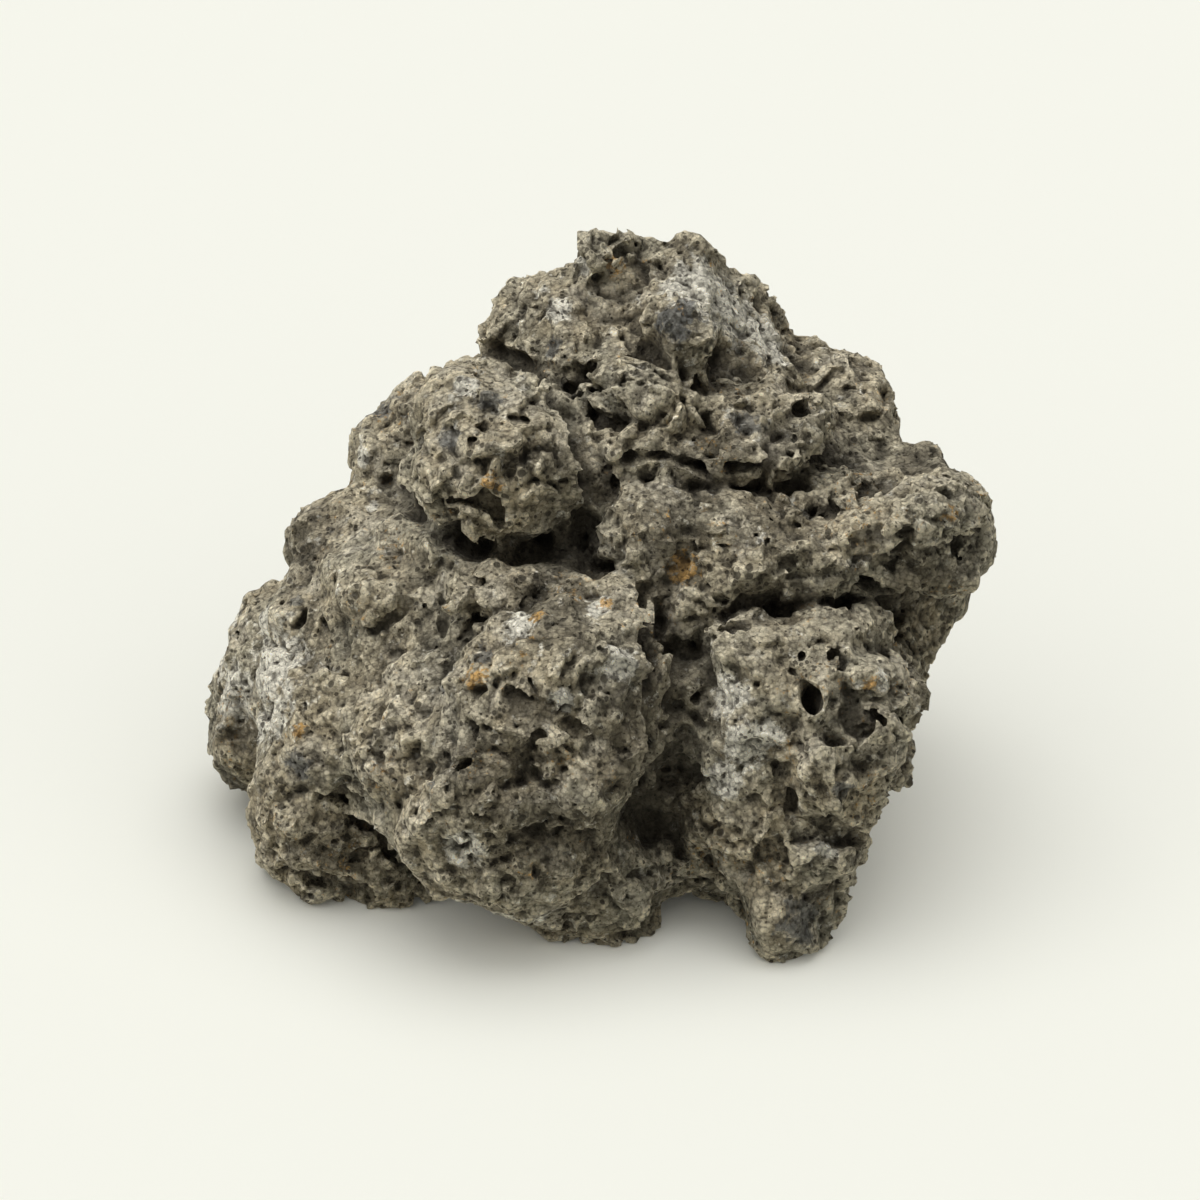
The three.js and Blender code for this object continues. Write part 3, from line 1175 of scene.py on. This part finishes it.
    def mark(self, piece: bpy.types.Object, smooth: Floats) -> None:
        """Notes on each corner how hollow its surroundings are, which way it faces, and which
        colour patches and painted shade lie on it.

        Args:
            piece: The finished piece.
            smooth: The depths before anything was cut, which say how far in a corner is.
        """
        mesh = piece.data
        points = triples(mesh.vertices, "co", np.float32) / np.float32(MM)
        fine, broad, deep = (self.block.solid_share(points, spread) for spread in self.spreads)
        # Corners deep below the smooth skin, in clefts and holes, get more painted shade.
        inside = np.clip(-self.block.read(smooth, points) - self.rim, 0, self.inmost)
        deep = np.maximum(deep, 0.5 + inside * np.float32(self.inside_share))
        upward = triples(mesh.vertices, "normal", np.float32)[:, 2] * 0.5 + 0.5
        stains_and_shade = np.zeros((len(points), 4), np.float32)
        for tint, spots in self.stains_and_shade.items():
            for x, y, z, reach in spots:
                away = np.linalg.norm(points - np.array((x, y, z), np.float32), axis=1)
                column = stains_and_shade[:, tint.value]
                np.maximum(column, 1 - away / reach, out=column)
        # The shares of stone round a corner set the painted shade in hollows and the dusty beige
        # and painted highlight on crests; how far it faces up sets them on upper sides.
        paint(mesh, "relief", np.stack([fine, broad, deep, upward], 1))
        paint(mesh, "tint", stains_and_shade)


def paint(mesh: bpy.types.Mesh, name: str, values: Floats) -> None:
    """Puts four numbers on each corner of a mesh as an attribute."""
    mesh.attributes.new(name, "FLOAT_COLOR", "POINT").data.foreach_set("color", values.ravel())


def largest_shell(count: int, faces: Ints) -> NDArray[np.bool_]:
    """Marks the faces of the largest connected shell.

    Every corner starts with its own number, and takes the smallest number found across
    its faces until none changes. The commonest number is the largest shell's.

    Args:
        count: How many corners there are.
        faces: Corners of each face, one row each.

    Returns:
        True for each face of the largest shell.
    """
    label = np.arange(count)
    while True:
        least = label[faces].min(axis=1)
        new = label.copy()
        for side in range(faces.shape[1]):
            np.minimum.at(new, faces[:, side], least)
        new = new[new]
        if np.array_equal(new, label):
            break
        label = new
    face_label = label[faces[:, 0]]
    return face_label == np.bincount(face_label).argmax()


def mesh_object(name: str, corners: Floats, faces: Ints) -> bpy.types.Object:
    """Makes a mesh object in the scene.

    Args:
        name: Its name.
        corners: Corner places, mm.
        faces: Corners of each face.

    Returns:
        The object, at the origin, with its mesh in metres.
    """
    used, index = np.unique(faces, return_inverse=True)
    places = (corners[used] * MM).astype(np.float32)
    faces = index.reshape(faces.shape)
    count, sides = faces.shape
    mesh = bpy.data.meshes.new(name)
    mesh.vertices.add(len(places))
    mesh.vertices.foreach_set("co", places.ravel())
    mesh.loops.add(count * sides)
    mesh.loops.foreach_set("vertex_index", faces.astype(np.int32).ravel())
    mesh.polygons.add(count)
    mesh.polygons.foreach_set("loop_start", np.arange(0, count * sides, sides, dtype=np.int32))
    mesh.update(calc_edges=True)
    piece = bpy.data.objects.new(name, mesh)
    bpy.context.scene.collection.objects.link(piece)
    return piece


class NodeKit:
    """Lays out a material's nodes."""

    def __init__(self, name: str) -> None:
        """Starts an empty material.

        Args:
            name: Its name.
        """
        self.material = bpy.data.materials.new(name)
        self.material.use_nodes = True
        self.tree = self.material.node_tree
        self.tree.nodes.clear()

    def node(self, kind: str, **sets: object) -> bpy.types.Node:
        """Adds a node.

        Args:
            kind: Its kind.
            sets: Its own properties, by name.

        Returns:
            The node.
        """
        made = self.tree.nodes.new(kind)
        for key, value in sets.items():
            setattr(made, key, value)
        return made

    def plug(self, socket: Socket, value: object) -> None:
        """Fills one socket.

        Args:
            socket: The socket.
            value: A value to set, or another socket to link.
        """
        if isinstance(value, Socket):
            self.tree.links.new(value, socket)
        else:
            socket.default_value = value

    def feed(self, node: bpy.types.Node, **inputs: object) -> None:
        """Fills a node's sockets, by name with underscores for spaces."""
        for key, value in inputs.items():
            self.plug(node.inputs[key.replace("_", " ")], value)

    def math(self, how: str, a: object, b: object = 0.0, c: object = 0.0) -> Socket:
        """Works out one sum.

        Args:
            how: Which sum.
            a: Its first number.
            b: Its second.
            c: Its third, if it has one.

        Returns:
            The result.
        """
        made = self.node("ShaderNodeMath", operation=how)
        for socket, value in zip(made.inputs, (a, b, c)):
            self.plug(socket, value)
        return made.outputs[0]

    def times(self, a: object, b: object) -> Socket:
        """One number times another."""
        return self.math("MULTIPLY", a, b)

    def larger(self, a: object, b: object) -> Socket:
        """The larger of two numbers."""
        return self.math("MAXIMUM", a, b)

    def parts(self, colour: object) -> tuple[Socket, ...]:
        """A colour's red, green and blue."""
        made = self.node("ShaderNodeSeparateColor")
        self.feed(made, Color=colour)
        return tuple(made.outputs)

    def numbers(self, name: str) -> tuple[Socket, ...]:
        """The four numbers that the mesh holds under a name."""
        made = self.node("ShaderNodeAttribute", attribute_name=name)
        return (*self.parts(made.outputs["Color"]), made.outputs["Alpha"])

    def ramp(self, value: object, low: float, high: float) -> Socket:
        """Turns a value into 0 at low and 1 at high, with soft ends."""
        made = self.node("ShaderNodeMapRange", interpolation_type="SMOOTHSTEP")
        self.feed(made, Value=value, From_Min=low, From_Max=high)
        return made.outputs[0]

    def spread(self, value: object, low: float, high: float) -> Socket:
        """Turns the middle half of 0 to 1 into low to high, in a straight line."""
        made = self.node("ShaderNodeMapRange")
        self.feed(made, Value=value, From_Min=0.25, From_Max=0.75, To_Min=low, To_Max=high)
        return made.outputs[0]

    def mix(self, share: object, a: object, b: object, how: str = "MIX") -> Socket:
        """Mixes two colours.

        Args:
            share: Share of the second.
            a: The first.
            b: The second.
            how: Way of mixing.

        Returns:
            The mixed colour.
        """
        made = self.node("ShaderNodeMix", data_type="RGBA", blend_type=how)
        self.plug(made.inputs[0], share)
        self.plug(made.inputs[6], a)
        self.plug(made.inputs[7], b)
        return made.outputs[2]

    def vector(self, how: str, a: object, b: object, c: object = (0.0, 0.0, 0.0)) -> bpy.types.Node:
        """Works out one sum of steps.

        Args:
            how: Which sum.
            a: Its first step.
            b: Its second.
            c: Its third, if it has one.

        Returns:
            The node, whose outputs are a step and a number.
        """
        made = self.node("ShaderNodeVectorMath", operation=how)
        for socket, value in zip(made.inputs, (a, b, c)):
            self.plug(socket, value)
        return made

    def moved(self, place: object, by: float) -> Socket:
        """Moves the places by a set amount, so that two noises differ."""
        return self.vector("ADD", place, (by, -by, by * 0.5)).outputs[0]

    def pushed(self, place: object, size: float, by: float) -> Socket:
        """Pushes the places about by noise, so that a pattern is never regular.

        Args:
            place: The places.
            size: Size of the noise, mm.
            by: How far they are pushed, mm.

        Returns:
            The pushed places.
        """
        wander = self.node("ShaderNodeTexNoise")
        self.feed(wander, Vector=place, Scale=1 / (size * MM), Detail=2.0)
        steps = (by * MM,) * 3
        return self.vector("MULTIPLY_ADD", wander.outputs["Color"], steps, place).outputs[0]

    def noise(
        self, place: object, size: float, detail: float = 2.0, rough: float = 0.55
    ) -> Socket:
        """Cloudy noise of 0 to 1, with patches of about the size in mm."""
        made = self.node("ShaderNodeTexNoise")
        self.feed(made, Vector=place, Scale=1 / (size * MM), Detail=detail, Roughness=rough)
        return made.outputs[0]

    def cells(self, place: object, size: float) -> bpy.types.Node:
        """Cells with middles strewn about the size in mm apart."""
        made = self.node("ShaderNodeTexVoronoi", feature="F1")
        self.feed(made, Vector=place, Scale=1 / (size * MM))
        return made

    def grains(self, place: object, size: float) -> tuple[Socket, ...]:
        """Angular grains about the size in mm, each with a flat, tilted face.

        A grain's random colour, less a half, is the slope of its face along X, Y and Z,
        and the way from its middle times that slope is its rise.

        Args:
            place: Where the pattern is read.
            size: Distance between grains, mm.

        Returns:
            The rise in mm, a random number for each grain, and the distance from its
            middle as a share of the size.
        """
        cells = self.cells(place, size)
        away = self.vector("SUBTRACT", place, cells.outputs["Position"]).outputs[0]
        slope = self.vector("SUBTRACT", cells.outputs["Color"], (0.5, 0.5, 0.5)).outputs[0]
        rise = self.vector("DOT_PRODUCT", away, slope).outputs["Value"]
        chance = self.parts(cells.outputs["Color"])[1]
        return self.math("DIVIDE", rise, MM), chance, cells.outputs["Distance"]

    def pits(self, place: object, size: float, most: float, porous: object) -> Socket:
        """Small round pits about the size in mm apart, each with its own radius.

        A cell's random number to the power of 1.4, times the most and the porosity, is its
        pit's radius as a share of the size.

        Args:
            place: Where the pattern is read.
            size: Distance between pits, mm.
            most: The largest radius, as a share of the size.
            porous: How porous the stone is, which shrinks or widens the pits.

        Returns:
            A number that is 1 inside a pit and 0 outside, with a soft rim.
        """
        cells = self.cells(place, size)
        chance = self.parts(cells.outputs["Color"])[0]
        radius = self.times(self.times(self.math("POWER", chance, 1.4), most), porous)
        return self.ramp(self.math("SUBTRACT", cells.outputs["Distance"], radius), 0.05, -0.07)

    def surface(
        self, colour: object, roughness: float, shine: float, bumps: Socket | None = None
    ) -> bpy.types.Material:
        """Gives the material its surface, which finishes it.

        Args:
            colour: Its colour.
            roughness: How dull it is, 0 to 1.
            shine: How much light it throws straight back.
            bumps: The way that its bumps face, if it has any.

        Returns:
            The material.
        """
        shader = self.node("ShaderNodeBsdfPrincipled")
        self.feed(shader, Base_Color=colour, Roughness=roughness, Specular_IOR_Level=shine)
        if bumps is not None:
            self.feed(shader, Normal=bumps)
        out = self.node("ShaderNodeOutputMaterial")
        self.feed(out, Surface=shader.outputs[0])
        return self.material


@dataclass(frozen=True)
class StoneFinish:
    """The stone's colours, in linear light.

    Attributes:
        body: The common grey-brown.
        cool: The greyer brown of its cooler parts.
        dust_and_highlight: Dusty beige on crests and upper sides, partly painted highlight.
        deep: Painted shade in hollows, clefts, pits and the cracks between crumbs.
        ash: Paler grey patches.
        char_and_shade: Darker brown patches, and painted shade in clefts, valleys and shaded sides.
        slate: Glassy blue-grey patches.
        pale: Whitish mineral patches, and painted highlight on the right tower's upper slab.
        rust: Rusty flecks.
        roughness: How dull the stone is, 0 to 1.
        shine: How much light it throws straight back.
        grain_size: Size of the cloudy grain, mm.
        grain_rise: How high it stands, mm.
        crumb_size: Size of the angular crumbs, mm.
        crumb_rise: How much their faces rise.
        crumb_fall: How deep their edges lie, mm.
        pit_sizes: Distances between large and small pits, mm.
        pit_radii: Their largest radii, as shares of those distances.
        pit_depth: How deep they are, mm.
    """

    body: Colour = (0.49, 0.415, 0.275, 1)
    cool: Colour = (0.37, 0.34, 0.25, 1)
    dust_and_highlight: Colour = (0.95, 0.85, 0.62, 1)
    deep: Colour = (0.035, 0.029, 0.019, 1)
    ash: Colour = (0.66, 0.60, 0.47, 1)
    char_and_shade: Colour = (0.15, 0.128, 0.085, 1)
    slate: Colour = (0.125, 0.135, 0.140, 1)
    pale: Colour = (0.98, 0.93, 0.78, 1)
    rust: Colour = (0.66, 0.38, 0.11, 1)
    roughness: float = 0.93
    shine: float = 0.25
    grain_size: float = 2.6
    grain_rise: float = 3.6
    crumb_size: float = 1.1
    crumb_rise: float = 0.9
    crumb_fall: float = 0.3
    pit_sizes: tuple[float, float] = (3.1, 1.5)
    pit_radii: tuple[float, float] = (0.36, 0.42)
    pit_depth: float = 0.8

    def make(self) -> bpy.types.Material:
        """Builds the material.

        Returns:
            The material.
        """
        kit = NodeKit("porous_stone")
        place = kit.node("ShaderNodeTexCoord").outputs["Object"]
        bent = kit.pushed(place, 1.1, 0.8)
        porous = kit.spread(kit.noise(place, 8.0, 2.0), 0.3, 1.45)
        pits = 0.0
        for by, size, radius in zip((0.21, 0.0), self.pit_sizes, self.pit_radii):
            pits = kit.larger(pits, kit.pits(kit.moved(bent, by), size, radius, porous))
        grain = kit.noise(bent, self.grain_size, 6.0, 0.72)
        crumb, crumb_tone, edge = kit.grains(kit.moved(bent, 0.47), self.crumb_size)

        height = kit.times(crumb, self.crumb_rise)
        for value, rise in (
            (kit.math("POWER", edge, 2.0), -self.crumb_fall),
            (grain, self.grain_rise),
            (pits, -self.pit_depth),
        ):
            height = kit.math("MULTIPLY_ADD", value, rise, height)
        bump = kit.node("ShaderNodeBump")
        kit.feed(bump, Strength=1.0, Distance=1.0 * MM, Height=height)

        colour = self.stained_and_shaded(kit, place, self.dusted_and_highlighted(kit, place))
        # Painted shade in the low places of the grain's bumps and painted highlight on their high
        # places, times a random tone for each crumb.
        bump_shade_and_tone = kit.times(kit.spread(grain, 0.3, 1.7), kit.spread(crumb_tone, 0.86, 1.14))
        lump = kit.spread(kit.noise(kit.moved(place, 0.11), 3.4, 3.0), 0.78, 1.22)
        shade_and_tone = kit.times(bump_shade_and_tone, lump)
        grey = kit.node("ShaderNodeCombineColor")
        kit.feed(grey, Red=shade_and_tone, Green=shade_and_tone, Blue=shade_and_tone)
        colour = kit.mix(1.0, colour, grey.outputs[0], "MULTIPLY")
        # Painted shade in hollows and clefts, darker the more stone stands round.
        colour = kit.mix(self.hollow_shade(kit), colour, self.deep)
        # Painted shade in the pits and in the cracks between the crumbs.
        crack = kit.times(kit.ramp(edge, 0.45, 0.85), 0.6)
        colour = kit.mix(kit.larger(kit.times(pits, 0.8), crack), colour, self.deep)
        return kit.surface(colour, self.roughness, self.shine, bump.outputs[0])

    def dusted_and_highlighted(self, kit: NodeKit, place: Socket) -> Socket:
        """Mixes the stone's own colours, with a dusty beige on its crests and upper sides that is
        partly painted highlight.

        Args:
            kit: Lays the nodes out.
            place: Where the patterns are read.

        Returns:
            The colour.
        """
        colour = kit.mix(kit.ramp(kit.noise(place, 26.0, 3.0), 0.38, 0.62), self.body, self.cool)
        # How far the patches are moved, their size, roughness, edges and strength, and colour.
        for by, size, rough, low, high, most, patch in (
            (0.17, 12.0, 0.60, 0.50, 0.64, 0.7, self.ash),
            (0.53, 9.0, 0.65, 0.50, 0.62, 0.8, self.char_and_shade),
        ):
            cloud = kit.noise(kit.moved(place, by), size, 5.0, rough)
            colour = kit.mix(kit.times(kit.ramp(cloud, low, high), most), colour, patch)
        fine, _, _, upward = kit.numbers("relief")
        # Crests and upper sides turn dusty beige, which is partly painted highlight.
        crest = kit.times(kit.ramp(fine, 0.50, 0.33), 0.55)
        settled = kit.ramp(kit.noise(place, 5.0, 4.0), 0.35, 0.62)
        top = kit.times(kit.times(kit.ramp(upward, 0.55, 1.0), settled), 0.45)
        return kit.mix(kit.larger(crest, top), colour, self.dust_and_highlight)

    def stained_and_shaded(self, kit: NodeKit, place: Socket, colour: Socket) -> Socket:
        """Lays the coloured patches and the painted shade over a colour, each with a ragged edge.

        Args:
            kit: Lays the nodes out.
            place: Where the patterns are read.
            colour: The colour below.

        Returns:
            The colour with its patches and painted shade.
        """
        pale, slate, rust, char_and_shade = kit.numbers("tint")
        rusty = kit.ramp(kit.noise(kit.moved(place, 0.71), 16.0, 2.0), 0.45, 0.65)
        rust = kit.larger(rust, kit.times(rusty, 0.3))
        # How far the edge's cloud is moved, its size, where it begins, and the strength.
        for amount, by, size, base, most, patch_colour in (
            # The first row lays painted shade in the dark brown, where the tint attribute's last
            # number puts it.
            (char_and_shade, 0.95, 5.0, 0.58, 0.6, self.char_and_shade),
            # Pale patches: mineral, and on the right tower's upper slab painted highlight.
            (pale, 0.31, 4.0, 0.57, 0.9, self.pale),
            (slate, 0.67, 4.0, 0.62, 0.7, self.slate),
            (rust, 0.83, 1.6, 0.68, 0.85, self.rust),
        ):
            cloud = kit.noise(kit.moved(place, by), size, 6.0, 0.72)
            patch = kit.ramp(kit.math("MULTIPLY_ADD", amount, 0.45, cloud), base, base + 0.12)
            colour = kit.mix(kit.times(patch, most), colour, patch_colour)
        return colour

    def hollow_shade(self, kit: NodeKit) -> Socket:
        """Works out the painted shade in each hollow, from how much stone stands round it.

        Args:
            kit: Lays the nodes out.

        Returns:
            A number that is 0 on open skin and grows to 0.94 deep inside.
        """
        fine, broad, deep, _ = kit.numbers("relief")
        hollow = 0.0
        for share, low, high, most in (
            (fine, 0.50, 0.68, 0.80),
            (broad, 0.50, 0.66, 0.85),
            (deep, 0.50, 0.68, 0.75),
            (deep, 0.62, 0.76, 0.94),
        ):
            hollow = kit.larger(hollow, kit.times(kit.ramp(share, low, high), most))
        return hollow


class Lit(Enum):
    """What a lamp lights."""

    ROCK = "rock"
    FLOOR = "floor"


@dataclass(frozen=True)
class Lamp:
    """A wide, soft light.

    Attributes:
        name: Which one it is.
        strength: Its strength.
        width: Its width as the rock sees it, degrees.
        way: The way that it comes from.
        lit: What it lights, so that the shadow on the floor is softer than those on the rock.
    """

    name: str
    strength: float
    width: float
    way: Triple
    lit: Lit


@dataclass
class Studio:
    """The pale floor, the soft light and the camera.

    Attributes:
        lens: Focal length, mm.
        distance: From the camera to its aim, metres.
        elevation: How far the camera looks down, degrees.
        aim: Where it looks, as shares of the rock's half length and of its height.
        floor_side: Side of the floor, metres.
        floor_colour: Its colour.
        sky: Strength of the even light from all sides.
        lamps: The wide lights.
    """

    lens: float = 85.0
    distance: float = 0.713
    elevation: float = 25.0
    aim: tuple[float, float] = (0.025, 0.4075)
    floor_side: float = 8.0
    floor_colour: Colour = (0.95, 0.95, 0.865, 1)
    sky: float = 0.22
    lamps: tuple[Lamp, ...] = (
        Lamp("overhead", 2.0, 42.0, (0.03, 0.14, 1.0), Lit.ROCK),
        Lamp("left", 2.5, 26.0, (-0.8, -0.1, 1.0), Lit.ROCK),
        Lamp("above the floor", 0.85, 60.0, (0.0, 0.1, 1.0), Lit.FLOOR),
        Lamp("front of the floor", 1.85, 120.0, (0.0, -0.7, 1.0), Lit.FLOOR),
    )

    def camera(self) -> None:
        """Makes the camera, which looks along +Y and down at the rock."""
        low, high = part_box(NODE)
        half = (high.x - low.x) / 2
        middle = (low + high) / 2
        aim = Vector((middle.x + half * self.aim[0], middle.y, high.z * self.aim[1]))
        tilt = math.radians(self.elevation)
        back = Vector((0, -math.cos(tilt), math.sin(tilt)))
        data = bpy.data.cameras.new("camera")
        data.lens = self.lens
        made = bpy.data.objects.new("camera", data)
        made.location = aim + back * self.distance
        made.rotation_euler = (-back).to_track_quat("-Z", "Y").to_euler()
        bpy.context.scene.collection.objects.link(made)
        bpy.context.scene.camera = made

    def floor(self) -> bpy.types.Object:
        """Makes the plain pale floor.

        Returns:
            The floor.
        """
        half = self.floor_side / 2 / MM
        corners = np.array([[-1, -1, 0], [1, -1, 0], [1, 1, 0], [-1, 1, 0]]) * half
        floor = mesh_object("floor", corners, np.array([[0, 1, 2, 3]]))
        kit = NodeKit("pale_paper")
        floor.data.materials.append(kit.surface(self.floor_colour, 1.0, 0.0))
        return floor

    def light(self, things: dict[Lit, bpy.types.Object]) -> None:
        """Makes the soft light: an even sky, two wide lamps on the rock and two on the floor.

        Args:
            things: What each sort of lamp lights.
        """
        world = bpy.data.worlds.new("sky")
        world.use_nodes = True
        back = world.node_tree.nodes["Background"]
        back.inputs[0].default_value = (1, 1, 1, 1)
        back.inputs[1].default_value = self.sky
        bpy.context.scene.world = world
        for lamp in self.lamps:
            data = bpy.data.lights.new(lamp.name, "SUN")
            data.energy = lamp.strength
            data.angle = math.radians(lamp.width)
            made = bpy.data.objects.new(lamp.name, data)
            made.rotation_euler = Vector(lamp.way).to_track_quat("Z", "Y").to_euler()
            bpy.context.scene.collection.objects.link(made)
            lit = bpy.data.collections.new(lamp.name)
            lit.objects.link(things[lamp.lit])
            made.light_linking.receiver_collection = lit

    def build(self, rock: bpy.types.Object) -> None:
        """Builds the floor, the light and the camera round the rock."""
        self.camera()
        self.light({Lit.ROCK: rock, Lit.FLOOR: self.floor()})
        bpy.context.scene.view_settings.view_transform = "Standard"


def main() -> None:
    """Builds the studio and the rock."""
    logging.basicConfig(level=logging.INFO, format="%(relativeCreated)6d ms %(message)s")
    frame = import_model()
    rock = LavaRock().build(frame["nodes"][NODE])
    rock.data.materials.clear()
    rock.data.materials.append(StoneFinish().make())
    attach(rock, BODY)
    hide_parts(NODE)
    LOG.info("stone built")
    Studio().build(rock)
    LOG.info("studio built")


if __name__ == "__main__":
    main()
